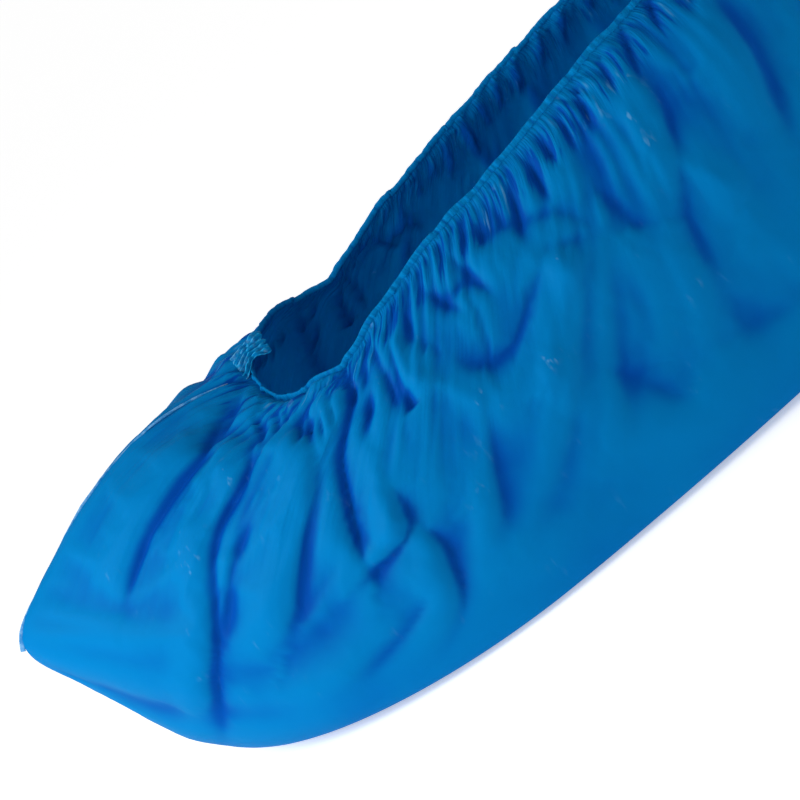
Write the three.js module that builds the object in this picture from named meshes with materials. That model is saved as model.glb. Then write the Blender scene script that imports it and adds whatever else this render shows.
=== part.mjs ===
// A single-use shoe cover of thin plastic film, in the shape that it has when it is worn.
// Millimetres, +Z up. The toe points along -X and the heel along +X, and the near side is -Y.
// The flattened sole rests on z = 0.
import * as THREE from "three";

const wallThickness = 1.2;
const columnCount = 128;
const middleX = -20; // where each level is widest
const sideSquareness = 3; // how full the rear half of each level is
const taperPower = 1.3; // how late the rear half narrows
const nearLean = 0.25; // the hem's front dips on the near side
const farLean = 0.1; // and rises on the far side
const leanLevels = 4; // levels below the hem over which the lean runs out
const soleLineShrink = 0.94; // the sole's middle line is a little shorter than its last row

// Each level is a closed loop round the foot, from the hem down to the middle of the sole.
// front, back: x of its two ends. half: half its width. taper: share lost towards the heel.
// zFront, zMiddle, zBack: height at the toe end, at middleX and at the heel end.
// climb: how the height goes from middle to back. tipFront, tipBack: 2 is round, 1 is a point.
// rows: mesh rows between this level and the next one.
const levelColumns = [
  "name", "front", "back", "half", "taper", "zFront", "zMiddle", "zBack",
  "climb", "tipFront", "tipBack", "rows",
];
const levels = [
  ["hem", -50, 132, 36, 0.05, 76, 76, 106, 0.8, 2, 2, 1],
  ["under_hem", -56, 137, 41, 0.08, 80, 75, 103, 0.9, 2, 2, 2],
  ["instep", -76, 143, 50, 0.12, 84, 67, 92, 1.2, 1.9, 2, 2],
  ["vamp", -101, 149, 55, 0.16, 80, 54, 78, 1.5, 1.7, 1.8, 2],
  ["toe_cap", -121.5, 155, 58, 0.2, 71, 42, 68, 1.6, 1.45, 1.6, 2],
  ["corner", -141, 163, 61, 0.22, 59, 29, 57, 1.6, 1.15, 1.3, 2],
  ["toe_front", -134, 157, 62, 0.22, 37, 14, 30, 1.6, 1.5, 2, 2],
  ["sole_edge", -123, 151, 62, 0.22, 13, 2.5, 8, 1.6, 1.85, 2.3, 1],
  ["under", -109, 140, 58, 0.22, 1.5, 0, 0, 1.6, 2, 2.4, 1],
  ["sole", -92, 129, 44, 0.22, 0, 0, 0, 1.6, 2.1, 2.4, 0],
].map((row) => Object.fromEntries(row.map((value, k) => [levelColumns[k], value])));

// Gathers: waves that run down from the drawn-in hem and die out on the sides.
const gatherCount = 32;
const gatherDepth = [
  { level: "hem", depth: 0.5 },
  { level: "under_hem", depth: 2.2 },
  { level: "instep", depth: 1.6 },
  { level: "vamp", depth: 0.5 },
  { level: "toe_cap", depth: 0 },
];

// Folds, as seen from one side: right and down in mm from the front of the hem.
// side: -1 is the near side, 1 the far side. depth goes inwards; a ridge has a negative depth.
const viewTiltDegrees = 16; // the side view looks down by this much
const hemFront = { x: -50, z: 76 };
const foldClearOfSole = { from: 8, over: 18 }; // folds run out above the sole
const foldClearOfMiddle = 12; // and beside the welds
const foldColumns = ["name", "side", "width", "depth", "path"];
const folds = [
  ["toe_fold", -1, 6, 2.5, [[-12, -2], [-30, -1], [-60, 14]]],
  ["long_fold_front", -1, 7, 4, [[-8, 6], [-30, 18], [-52, 43], [-65, 62]]],
  ["long_fold_middle", -1, 7, 4, [[2, 20], [-15, 38], [-32, 62], [-44, 84]]],
  ["front_ridge", -1, 8, -2, [[-18, 22], [-38, 50], [-48, 70]]],
  ["side_fold", -1, 8, 4, [[18, 14], [12, 34], [-2, 62]]],
  ["side_ridge", -1, 12, -2.5, [[30, 26], [24, 46], [10, 68]]],
  ["ankle_fold", -1, 9, 3.5, [[62, 8], [54, 22], [44, 28]]],
  ["heel_fold", -1, 9, 3, [[150, 2], [128, 26], [104, 44]]],
  ["far_toe_fold", 1, 7, 3.5, [[-10, 8], [-34, 22], [-58, 46]]],
  ["far_middle_fold", 1, 8, 4, [[6, 18], [-6, 44], [-28, 72]]],
  ["far_side_fold", 1, 9, 3.5, [[44, 12], [40, 38], [24, 66]]],
  ["far_heel_fold", 1, 9, 3, [[140, 4], [120, 30], [98, 50]]],
].map((row) => Object.fromEntries(row.map((value, k) => [foldColumns[k], value])));

// The elastic hem: a narrow casing gathered on its cord.
const hemRadius = 1.4;
const hemGap = 0.35;
const hemInset = 0.9; // how far the casing sits inside the film's edge
const hemPuckerCount = 64;
const hemPuckerDepth = 0.15;
const hemSides = 8;

// The weld fins that close the bag over the toe and up the heel.
const finThickness = 0.9;
const finHeightAtHem = 1.2;
const finHeightAtCorner = 2.6;
const finOverhang = 2.4;
const finGap = 0.35;
const toeSeamFirstRow = 2; // the fan of spare film takes the place of the rows above it
const heelSeamFirstRow = 1;

// The fan of spare film at the top of the toe weld.
const tabPleats = 4;
const tabWidth = 8.5;
const tabLength = 11;
const tabWaist = 0.6; // share of the width left where the fan is tied in
const tabThickness = 0.9;
const tabPleatDepth = 1.4;
const tabArch = 1.2;
const tabRollDegrees = 50; // it stands up on the hem's front
const tabTurnDegrees = 0;
const tabPlace = [-46.8, 6.1, 81.9];

const filmBlue = 0x0078c4;
const hemBlue = 0x0a83cf;
const weldBlue = 0x63a9d8;
const tabBlue = 0x74b4e0;

const radians = (degrees) => (degrees * Math.PI) / 180;

// A level's loop: toe end first, then along the near side to the heel end and back.
function levelLoop(level, levelsDown) {
  const steps = 400;
  const frontReach = middleX - level.front;
  const backReach = level.back - middleX;
  const leaning = Math.max(0, 1 - levelsDown / leanLevels);
  const side = [];
  const far = [];
  for (let i = 0; i <= 2 * steps; i++) {
    const inFront = i <= steps;
    const turn = ((inFront ? i : 2 * steps - i) / steps) * (Math.PI / 2);
    const across = Math.sin(turn);
    const tip = inFront ? level.tipFront : level.tipBack;
    const reach = Math.max(0, 1 - across ** tip) ** (inFront ? 0.5 : 1 / sideSquareness);
    const x = inFront ? middleX - frontReach * reach : middleX + backReach * reach;
    const narrowing = inFront ? 1 : 1 - level.taper * reach ** taperPower;
    const z = inFront
      ? level.zMiddle + (level.zFront - level.zMiddle) * reach ** 2
      : level.zMiddle + (level.zBack - level.zMiddle) * reach ** level.climb;
    const y = across * level.half * narrowing;
    const tilt = inFront ? leaning * y * reach : 0;
    side.push(new THREE.Vector3(x, -y, z - nearLean * tilt));
    far.push(new THREE.Vector3(x, y, z + farLean * tilt));
  }
  return [...side, ...far.slice(0, -1).reverse()];
}

// count points spread evenly along a closed loop whose last point repeats its first.
function spreadAlong(loop, count) {
  const lengths = [0];
  for (let i = 1; i < loop.length; i++) {
    lengths.push(lengths[i - 1] + loop[i].distanceTo(loop[i - 1]));
  }
  const total = lengths[lengths.length - 1];
  const points = [];
  let at = 0;
  for (let i = 0; i < count; i++) {
    const wanted = (total * i) / count;
    while (lengths[at + 1] < wanted) at++;
    const share = (wanted - lengths[at]) / (lengths[at + 1] - lengths[at]);
    points.push(loop[at].clone().lerp(loop[at + 1], share));
  }
  return points;
}

function smoothBetween(a, b, c, d, t) {
  const at = (k) =>
    0.5 *
    (2 * b[k] +
      (c[k] - a[k]) * t +
      (2 * a[k] - 5 * b[k] + 4 * c[k] - d[k]) * t * t +
      (3 * b[k] - a[k] - 3 * c[k] + d[k]) * t * t * t);
  return new THREE.Vector3(at("x"), at("y"), at("z"));
}

// The smooth form: rows of points, and for each row its place among the levels.
function smoothForm() {
  const loops = levels.map((level, k) => spreadAlong(levelLoop(level, k), columnCount));
  const rows = [];
  levels.forEach((level, k) => {
    for (let r = 0; r < Math.max(1, level.rows); r++) {
      const share = level.rows ? r / level.rows : 0;
      const before = loops[Math.max(0, k - 1)];
      const after = loops[Math.min(levels.length - 1, k + 2)];
      const next = loops[Math.min(levels.length - 1, k + 1)];
      rows.push({
        place: k + share,
        points: loops[k].map((p, i) => smoothBetween(before[i], p, next[i], after[i], share)),
      });
    }
  });
  return rows;
}

// The outward direction at every point of the rows.
function normalsOf(rows) {
  return rows.map((row, r) =>
    row.map((point, i) => {
      const up = rows[Math.max(0, r - 1)][i];
      const down = rows[Math.min(rows.length - 1, r + 1)][i];
      const left = row[(i + columnCount - 1) % columnCount];
      const right = row[(i + 1) % columnCount];
      const along = right.clone().sub(left);
      return down.clone().sub(up).cross(along).normalize();
    }),
  );
}

function gatherAt(place, column) {
  const depths = gatherDepth.map((g) => g.depth);
  const k = Math.floor(place);
  if (k >= depths.length - 1) return 0;
  const depth = depths[k] + (depths[k + 1] - depths[k]) * (place - k);
  return depth * Math.cos((2 * Math.PI * gatherCount * column) / columnCount);
}

// Right and down, in mm from the front of the hem, as seen from the point's own side.
function seenFromSide(point, side) {
  const tilt = radians(viewTiltDegrees);
  const up = (point.z - hemFront.z) * Math.cos(tilt) - side * point.y * Math.sin(tilt);
  return [point.x - hemFront.x, -up];
}

function distanceToPath(seen, path) {
  let best = Infinity;
  for (let i = 1; i < path.length; i++) {
    const [ax, ay] = path[i - 1];
    const [bx, by] = path[i];
    const span = (bx - ax) ** 2 + (by - ay) ** 2;
    const raw = ((seen[0] - ax) * (bx - ax) + (seen[1] - ay) * (by - ay)) / span;
    const share = Math.min(1, Math.max(0, raw));
    const dx = seen[0] - ax - share * (bx - ax);
    const dy = seen[1] - ay - share * (by - ay);
    best = Math.min(best, Math.hypot(dx, dy));
  }
  return best;
}

function foldAt(point) {
  let inwards = 0;
  for (const fold of folds) {
    if (point.y * fold.side <= 0) continue;
    const away = distanceToPath(seenFromSide(point, fold.side), fold.path) / fold.width;
    inwards += fold.depth * Math.exp(-away * away);
  }
  const height = (point.z - foldClearOfSole.from) / foldClearOfSole.over;
  const aboveSole = Math.min(1, Math.max(0, height));
  const offMiddle = Math.min(1, Math.abs(point.y) / foldClearOfMiddle);
  return inwards * aboveSole * offMiddle;
}

function meshFrom(name, positions, triangles, color) {
  const geometry = new THREE.BufferGeometry();
  geometry.setAttribute(
    "position",
    new THREE.Float32BufferAttribute(positions.flatMap((p) => [p.x, p.y, p.z]), 3),
  );
  geometry.setIndex(triangles.flat());
  geometry.computeVertexNormals();
  const material = new THREE.MeshStandardMaterial({ color, roughness: 0.45, metalness: 0 });
  const mesh = new THREE.Mesh(geometry, material);
  mesh.name = name;
  return mesh;
}

// Joins two rings of vertex numbers; the faces look to the left of going from a to b.
function joinRings(triangles, a, b) {
  for (let i = 0; i < a.length; i++) {
    const j = (i + 1) % a.length;
    triangles.push([a[i], b[i], b[j]], [a[i], b[j], a[j]]);
  }
}

// Outer rows of the film with gathers and folds.
function filmRows() {
  const form = smoothForm();
  const smooth = form.map((row) => row.points);
  const normals = normalsOf(smooth);
  return smooth.map((row, r) =>
    row.map((point, i) => {
      const outwards = gatherAt(form[r].place, i) - foldAt(point);
      const moved = point.clone().addScaledVector(normals[r][i], outwards);
      moved.z = Math.max(0, moved.z);
      return moved;
    }),
  );
}

function innerRows(outer) {
  const normals = normalsOf(outer);
  return outer.map((row, r) =>
    row.map((point, i) => {
      const moved = point.clone().addScaledVector(normals[r][i], -wallThickness);
      moved.z = Math.max(wallThickness, moved.z);
      return moved;
    }),
  );
}

// Closes the last row on a line of vertices along the middle of the sole.
function middleLine(lastRow, z) {
  const half = columnCount / 2;
  const line = [];
  for (let i = 0; i <= half; i++) {
    line.push(new THREE.Vector3(lastRow[i].x * soleLineShrink, 0, z));
  }
  return line;
}

function coverFilm(outer) {
  const inner = innerRows(outer);
  const half = columnCount / 2;
  const positions = [];
  const ringOf = (row) => row.map((p) => positions.push(p) - 1);
  const outerRings = outer.map(ringOf);
  const innerRings = inner.map(ringOf);
  const lineRing = (lastRow, z) => {
    const first = positions.length;
    positions.push(...middleLine(lastRow, z));
    return lastRow.map((_, i) => first + Math.min(i, columnCount - i));
  };
  const outerLine = lineRing(outer[outer.length - 1], 0);
  const innerLine = lineRing(outer[outer.length - 1], wallThickness);
  const triangles = [];
  for (let r = 1; r < outerRings.length; r++) {
    joinRings(triangles, outerRings[r - 1], outerRings[r]);
    joinRings(triangles, innerRings[r], innerRings[r - 1]);
  }
  joinRings(triangles, innerRings[0], outerRings[0]);
  joinRings(triangles, outerRings[outerRings.length - 1], outerLine);
  joinRings(triangles, innerLine, innerRings[innerRings.length - 1]);
  const whole = triangles.filter(([a, b, c]) => a !== b && b !== c && a !== c);
  return meshFrom("cover_film", positions, whole, filmBlue);
}

function elasticHem(outer) {
  const middle = new THREE.Vector3(middleX, 0, 0);
  const centre = outer[0].map((p) => {
    const inwards = middle.clone().sub(p).setZ(0).normalize();
    return p.clone().addScaledVector(inwards, hemInset).setZ(p.z + hemRadius + hemGap);
  });
  const positions = [];
  const rings = [];
  for (let side = 0; side < hemSides; side++) {
    const angle = (2 * Math.PI * side) / hemSides;
    rings.push(
      centre.map((point, i) => {
        const left = centre[(i + columnCount - 1) % columnCount];
        const right = centre[(i + 1) % columnCount];
        const along = right.clone().sub(left).normalize();
        const outwards = along.clone().cross(new THREE.Vector3(0, 0, 1)).normalize().negate();
        const upwards = outwards.clone().cross(along).normalize();
        const turn = (2 * Math.PI * hemPuckerCount * i) / columnCount;
        const radius = hemRadius - hemPuckerDepth * (1 - Math.cos(turn));
        const spot = point
          .clone()
          .addScaledVector(outwards, radius * Math.cos(angle))
          .addScaledVector(upwards, radius * Math.sin(angle));
        return positions.push(spot) - 1;
      }),
    );
  }
  const triangles = [];
  rings.forEach((ring, k) => joinRings(triangles, rings[(k + 1) % hemSides], ring));
  return meshFrom("elastic_hem", positions, triangles, hemBlue);
}

// A weld fin standing on one column of the film, from the first row to the corner's row.
function weldFin(name, outer, column, firstRow, lastRow) {
  const profile = outer.slice(firstRow, lastRow + 1).map((row) => row[column].clone().setY(0));
  const facing = column === 0 ? 1 : -1;
  const positions = [];
  const rings = profile.map((point, k) => {
    const before = profile[Math.max(0, k - 1)];
    const after = profile[Math.min(profile.length - 1, k + 1)];
    const along = after.clone().sub(before).normalize();
    const outwards = new THREE.Vector3(along.z, 0, -along.x).multiplyScalar(facing);
    const share = k / (profile.length - 1);
    const height = finHeightAtHem + (finHeightAtCorner - finHeightAtHem) * share;
    const reach = k === profile.length - 1 ? finOverhang : 0;
    const base = point.clone().addScaledVector(outwards, finGap).addScaledVector(along, reach);
    const top = base.clone().addScaledVector(outwards, height);
    const halfThickness = (facing * finThickness) / 2;
    return [
      base.clone().setY(-halfThickness),
      base.clone().setY(halfThickness),
      top.clone().setY(halfThickness),
      top.clone().setY(-halfThickness),
    ].map((spot) => positions.push(spot) - 1);
  });
  const triangles = [];
  for (let k = 1; k < rings.length; k++) joinRings(triangles, rings[k - 1], rings[k]);
  const first = rings[0];
  const last = rings[rings.length - 1];
  triangles.push([first[0], first[1], first[2]], [first[0], first[2], first[3]]);
  triangles.push([last[0], last[2], last[1]], [last[0], last[3], last[2]]);
  return meshFrom(name, positions, triangles, weldBlue);
}

// The fan of spare film: a pleated sheet, narrow in the middle, wide at both ends.
function seamTab() {
  const across = tabPleats * 4;
  const along = 6;
  const positions = [];
  const grids = [1, -1].map((face) => {
    const grid = [];
    for (let j = 0; j <= along; j++) {
      const t = j / along;
      const waist = tabWaist + (1 - tabWaist) * Math.abs(2 * t - 1) ** 1.5;
      const row = [];
      for (let i = 0; i <= across; i++) {
        const s = i / across - 0.5;
        const wave = tabPleatDepth * Math.cos(2 * Math.PI * tabPleats * s) * (0.6 + 0.4 * waist);
        const arch = tabArch * Math.sin(Math.PI * t);
        const spot = new THREE.Vector3(
          (t - 0.5) * tabLength,
          s * tabWidth * waist,
          wave * 0.5 + arch + (face * tabThickness) / 2,
        );
        row.push(positions.push(spot) - 1);
      }
      grid.push(row);
    }
    return grid;
  });
  const [top, bottom] = grids;
  const triangles = [];
  for (let j = 0; j < along; j++) {
    for (let i = 0; i < across; i++) {
      triangles.push([top[j][i], top[j + 1][i], top[j + 1][i + 1]]);
      triangles.push([top[j][i], top[j + 1][i + 1], top[j][i + 1]]);
      triangles.push([bottom[j][i], bottom[j + 1][i + 1], bottom[j + 1][i]]);
      triangles.push([bottom[j][i], bottom[j][i + 1], bottom[j + 1][i + 1]]);
    }
  }
  const edge = (grid) => [
    ...grid[0],
    ...grid.slice(1).map((row) => row[across]),
    ...grid[along].slice(0, -1).reverse(),
    ...grid.slice(1, -1).map((row) => row[0]).reverse(),
  ];
  joinRings(triangles, edge(bottom), edge(top));
  const mesh = meshFrom("seam_tab", positions, triangles, tabBlue);
  mesh.rotation.set(radians(tabRollDegrees), 0, radians(tabTurnDegrees), "ZYX");
  mesh.position.set(...tabPlace);
  return mesh;
}

const outer = filmRows();
const cornerLevel = levels.findIndex((level) => level.name === "corner");
const cornerRow = levels.slice(0, cornerLevel).reduce((sum, level) => sum + level.rows, 0);

const cover = new THREE.Group();
cover.name = "shoe_cover";
cover.add(coverFilm(outer));
cover.add(elasticHem(outer));
cover.add(weldFin("toe_seam", outer, 0, toeSeamFirstRow, cornerRow));
cover.add(weldFin("heel_seam", outer, columnCount / 2, heelSeamFirstRow, cornerRow));
cover.add(seamTab());

// The origin is under the middle of the whole cover, on the surface that it stands on.
const box = new THREE.Box3().setFromObject(cover);
const centre = box.getCenter(new THREE.Vector3());
cover.position.set(-centre.x, -centre.y, -box.min.z);

export default cover;
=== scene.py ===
"""A single-use shoe cover of thin plastic film, opened out to the shape that it has in wear.

The toe points along -X, the heel along +X, and the near side, towards the camera, is -Y. The
film is a gathered bag: its hem is drawn in on elastic, and pale welds close it over the toe and
up the heel.
"""
import math
import random

import bpy
from bpy.props import FloatProperty, FloatVectorProperty, IntProperty, PointerProperty
from mathutils import Matrix, Vector, noise


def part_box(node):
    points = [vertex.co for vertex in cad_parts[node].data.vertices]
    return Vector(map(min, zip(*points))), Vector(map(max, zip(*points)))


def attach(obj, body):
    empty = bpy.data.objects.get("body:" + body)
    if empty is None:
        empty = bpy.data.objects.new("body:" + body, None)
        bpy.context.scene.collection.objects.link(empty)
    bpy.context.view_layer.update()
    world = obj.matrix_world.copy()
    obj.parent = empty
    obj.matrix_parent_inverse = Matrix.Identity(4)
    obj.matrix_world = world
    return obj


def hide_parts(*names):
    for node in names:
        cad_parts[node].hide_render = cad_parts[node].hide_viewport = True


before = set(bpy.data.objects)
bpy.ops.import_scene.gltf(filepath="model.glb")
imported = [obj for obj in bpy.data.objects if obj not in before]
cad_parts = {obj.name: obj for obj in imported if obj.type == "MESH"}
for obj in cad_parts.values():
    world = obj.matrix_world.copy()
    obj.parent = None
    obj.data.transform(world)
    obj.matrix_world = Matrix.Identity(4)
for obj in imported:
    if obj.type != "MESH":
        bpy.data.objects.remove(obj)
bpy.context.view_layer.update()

bl_info = {
    "name": "Film Shoe Cover",
    "version": (1, 0, 0),
    "blender": (4, 5, 0),
    "location": "3D View > Sidebar > Shoe Cover",
    "description": "Builds a gathered plastic-film shoe cover with its elastic hem and welds",
    "category": "Object",
}

MM = 0.001
BODY = "root"

# The form is drawn in millimetres from a point under the middle of the foot. The welds lie in
# its middle plane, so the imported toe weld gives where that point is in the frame.
TOE_WELD_TIP_X = -144.735
weld_low, weld_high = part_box("toe_seam")
ORIGIN = Vector((
    weld_low[0] - TOE_WELD_TIP_X * MM,
    (weld_low[1] + weld_high[1]) / 2,
    0.0,
))

MIDDLE_X = -20.0  # where each level is widest
SIDE_SQUARENESS = 3.0
LEVEL_STEPS = 300  # steps that a level's line has from its widest place to its toe or heel end
TAPER_CURVE = 1.3

# Closed loops round the foot, from the hem to the middle of the sole, in mm.
LEVEL_COLUMNS = (
    "name", "front", "back", "half", "taper", "z_front", "z_middle", "z_back",
    "climb", "tip_front", "tip_back", "rows",
)
LEVELS = [dict(zip(LEVEL_COLUMNS, row)) for row in (
    ("hem", -50, 132, 36, 0.05, 76, 76, 106, 0.8, 2.0, 2.0, 6),
    ("under_hem", -56, 137, 41, 0.08, 80, 75, 103, 0.9, 2.0, 2.0, 10),
    ("instep", -76, 143, 50, 0.12, 84, 67, 92, 1.2, 1.9, 2.0, 12),
    ("vamp", -101, 149, 55, 0.16, 80, 54, 78, 1.5, 1.7, 1.8, 10),
    ("toe_cap", -121.5, 155, 58, 0.20, 71, 42, 68, 1.6, 1.45, 1.6, 10),
    ("corner", -141, 163, 61, 0.22, 59, 29, 57, 1.6, 1.15, 1.3, 9),
    ("toe_front", -134, 157, 62, 0.22, 37, 14, 30, 1.6, 1.5, 2.0, 9),
    ("sole_edge", -123, 151, 62, 0.22, 13, 2.5, 8, 1.6, 1.85, 2.3, 5),
    ("under", -109, 140, 58, 0.22, 1.5, 0, 0, 1.6, 2.0, 2.4, 3),
    ("sole", -92, 129, 44, 0.22, 0, 0, 0, 1.6, 2.1, 2.4, 1),
)]
NEAR_LEAN = 0.25  # the hem's front dips on the near side
FAR_LEAN = 0.10  # and rises on the far side
LEAN_LEVELS = 4  # levels below the hem over which the lean runs out
CORNER_LEVEL = 5  # the level of the toe's corner
HEM_FRONT_X = -50.0  # side views are measured from the hem's front end
HEM_FRONT_Z = 76.0

# Fold lines as the near side shows them: right and down in mm from the hem's front end.
# depth goes inwards and a ridge has a negative one. lip raises the film beside the fold and
# makes that side the steeper one: the left when positive. fade is the share of the length over
# which each end runs out.
FOLD_COLUMNS = ("name", "width", "depth", "lip", "fade", "path")
NEAR_FOLDS = [dict(zip(FOLD_COLUMNS, row)) for row in (
    ("toe_soft", 5.0, 2.4, 0.4, 0.3, ((-8, -5), (-15, -4), (-26, -7), (-45, -8))),
    ("front_strong", 4.2, 4.2, 0.5, 0.25,
     ((-7, -1), (-14, 1), (-22, 5), (-30, 7), (-39, 10), (-47, 13), (-55, 18), (-62, 24))),
    ("front_crease", 2.4, 1.6, 0.3, 0.3, ((-20, 11), (-26, 15), (-34, 18))),
    ("front_ridge", 4.0, -1.8, 0.0, 0.3, ((-10, 5), (-20, 10), (-28, 15))),
    ("long_fold", 4.6, 4.6, 0.55, 0.15,
     ((-8, 11), (-17, 18), (-27, 22), (-35, 28), (-43, 38), (-50, 48), (-57, 56), (-64, 67))),
    ("branch_fold", 3.8, 3.0, 0.5, 0.25, ((-20, 26), (-33, 34), (-40, 41), (-47, 48))),
    ("branch_ridge", 3.5, -1.8, 0.0, 0.3, ((-30, 29), (-39, 39))),
    ("middle_fold", 5.0, 4.0, 0.5, 0.2,
     ((9, 15), (4, 24), (-1, 31), (-5, 35), (-12, 40), (-18, 46), (-25, 53), (-33, 59))),
    ("deep_fold", 4.6, 5.2, 0.5, 0.2,
     ((24, 11), (18, 20), (8, 29), (3, 38), (-1, 47), (-4, 55))),
    ("hem_fold", 4.0, 3.2, -0.5, 0.3, ((33, 10), (31, 17), (30, 23), (28, 30))),
    ("puff", 9.0, -3.0, 0.0, 0.3, ((9, 40), (10, 48), (2, 54))),
    ("puff_edge", 3.2, 3.2, 0.5, 0.25, ((14, 44), (13, 52), (8, 57), (-2, 59), (-9, 59))),
    ("low_curve", 4.6, 3.4, 0.5, 0.2,
     ((14, 58), (16, 64), (14, 72), (11, 79), (5, 84), (-2, 87), (-11, 90))),
    ("low_ridge", 5.0, -1.8, 0.0, 0.3, ((-33, 75), (-20, 74), (-4, 72))),
    ("low_dark", 4.6, 2.2, 0.3, 0.3, ((-25, 79), (-9, 77), (6, 72))),
    ("heel_fold", 7.0, 3.8, 0.5, 0.3, ((66, 4), (74, 8), (83, 11), (93, 16), (98, 26))),
    ("bulge", 11.0, -3.6, 0.0, 0.3, ((78, 18), (86, 34))),
    ("bulge_edge", 7.0, 4.8, -0.5, 0.25,
     ((98, 28), (92, 25), (84, 22), (76, 27), (68, 32), (60, 36), (52, 34), (47, 28))),
    ("streak", 5.0, -2.2, 0.0, 0.3, ((33, 24), (40, 30), (47, 43))),
    ("side_puff", 9.0, -2.6, 0.0, 0.3, ((62, 42), (67, 52), (60, 56))),
    ("side_crease", 5.0, 2.2, 0.5, 0.4, ((45, 46), (40, 56), (35, 66), (28, 76))),
    ("rear_hollow", 12.0, 3.6, 0.4, 0.4, ((74, 50), (84, 66), (92, 84))),
    ("rear_fold_a", 6.5, 3.6, 0.5, 0.35, ((112, -4), (104, 18), (110, 40))),
    ("rear_fold_b", 6.5, 3.6, 0.5, 0.35, ((134, -6), (130, 14), (118, 38), (112, 60))),
    ("rear_fold_c", 6.0, 3.2, 0.5, 0.35, ((156, -8), (158, 14), (150, 38))),
    ("rear_ridge", 8.0, -2.6, 0.0, 0.3, ((122, 18), (132, 44))),
    ("heel_side", 5.0, 3.0, 0.5, 0.3, ((176, 14), (166, 36), (150, 54))),
    ("low_rear", 9.0, 2.4, 0.4, 0.4, ((96, 66), (124, 72), (146, 66))),
)]
FAR_FOLDS = [dict(zip(FOLD_COLUMNS, row)) for row in (
    ("far_crest", 7.0, -5.0, 0.0, 0.45,
     ((28, 8), (18, 4), (8, 0), (-2, -2), (-12, -2), (-26, 0))),
    ("far_toe_soft", 5.0, 2.6, 0.5, 0.3, ((-12, 6), (-24, 8), (-44, 12))),
    ("far_toe_strong", 4.4, 4.2, 0.5, 0.2, ((-11, 6), (-26, 14), (-42, 26), (-58, 46))),
    ("far_toe_ridge", 4.5, -2.0, 0.0, 0.3, ((-14, 14), (-30, 27), (-40, 40))),
    ("far_long", 4.6, 4.4, 0.5, 0.2, ((-3, 15), (-12, 30), (-24, 48), (-38, 66))),
    ("far_branch", 3.8, 2.8, 0.5, 0.25, ((-8, 40), (-14, 58), (-14, 74))),
    ("far_middle", 5.0, 4.4, 0.5, 0.2, ((18, 13), (12, 30), (10, 48), (2, 66))),
    ("far_hem_fold", 4.0, 2.8, -0.5, 0.3, ((34, 10), (36, 20), (34, 31))),
    ("far_puff", 10.0, -3.0, 0.0, 0.3, ((26, 36), (34, 52))),
    ("far_curve", 4.8, 3.6, 0.5, 0.2, ((58, 10), (52, 26), (42, 36), (48, 52), (44, 68))),
    ("far_bulge", 11.0, -3.4, 0.0, 0.3, ((70, 24), (78, 42))),
    ("far_rear_a", 5.0, 3.8, 0.5, 0.25, ((86, 4), (90, 22), (84, 42), (72, 60))),
    ("far_rear_b", 5.0, 3.6, 0.5, 0.25, ((112, -2), (108, 20), (98, 42))),
    ("far_rear_c", 5.0, 3.4, 0.5, 0.25, ((136, -6), (138, 16), (128, 40), (120, 60))),
    ("far_rear_ridge", 8.0, -2.6, 0.0, 0.3, ((118, 24), (112, 48))),
    ("far_heel_side", 5.0, 3.0, -0.5, 0.3, ((172, 12), (164, 34), (150, 50))),
    ("far_low", 8.0, 2.6, 0.4, 0.4, ((20, 80), (48, 78), (74, 84))),
    ("far_low_rear", 9.0, 2.4, 0.4, 0.4, ((96, 70), (124, 72), (146, 64))),
)]
FOLD_SHARPNESS = 1.3  # 1 would be a knife-sharp crease, 2 a soft hollow
FOLD_LEAN = 0.45  # how much narrower a fold's steep side is, and how much wider its other side
FOLD_STRENGTH = 0.7  # how much of the tables' depth the film takes up
CREASE_WIDTH = 0.9
CREASE_SHARE = 0.2  # a crease's depth, as a share of its fold's
SOFTEST_CREASED = 4.7  # a fold wider than this has no crease at its bottom

# Spare width of the film at each level from the hem to the sole: the bag was cut straight, and
# the elastic draws its top in.
SPARE_WIDTH = (1.20, 1.17, 1.09, 1.045, 1.025, 1.015, 1.005, 1.0, 1.0, 1.0)
SPARE_HEIGHT = 1.006

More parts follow.
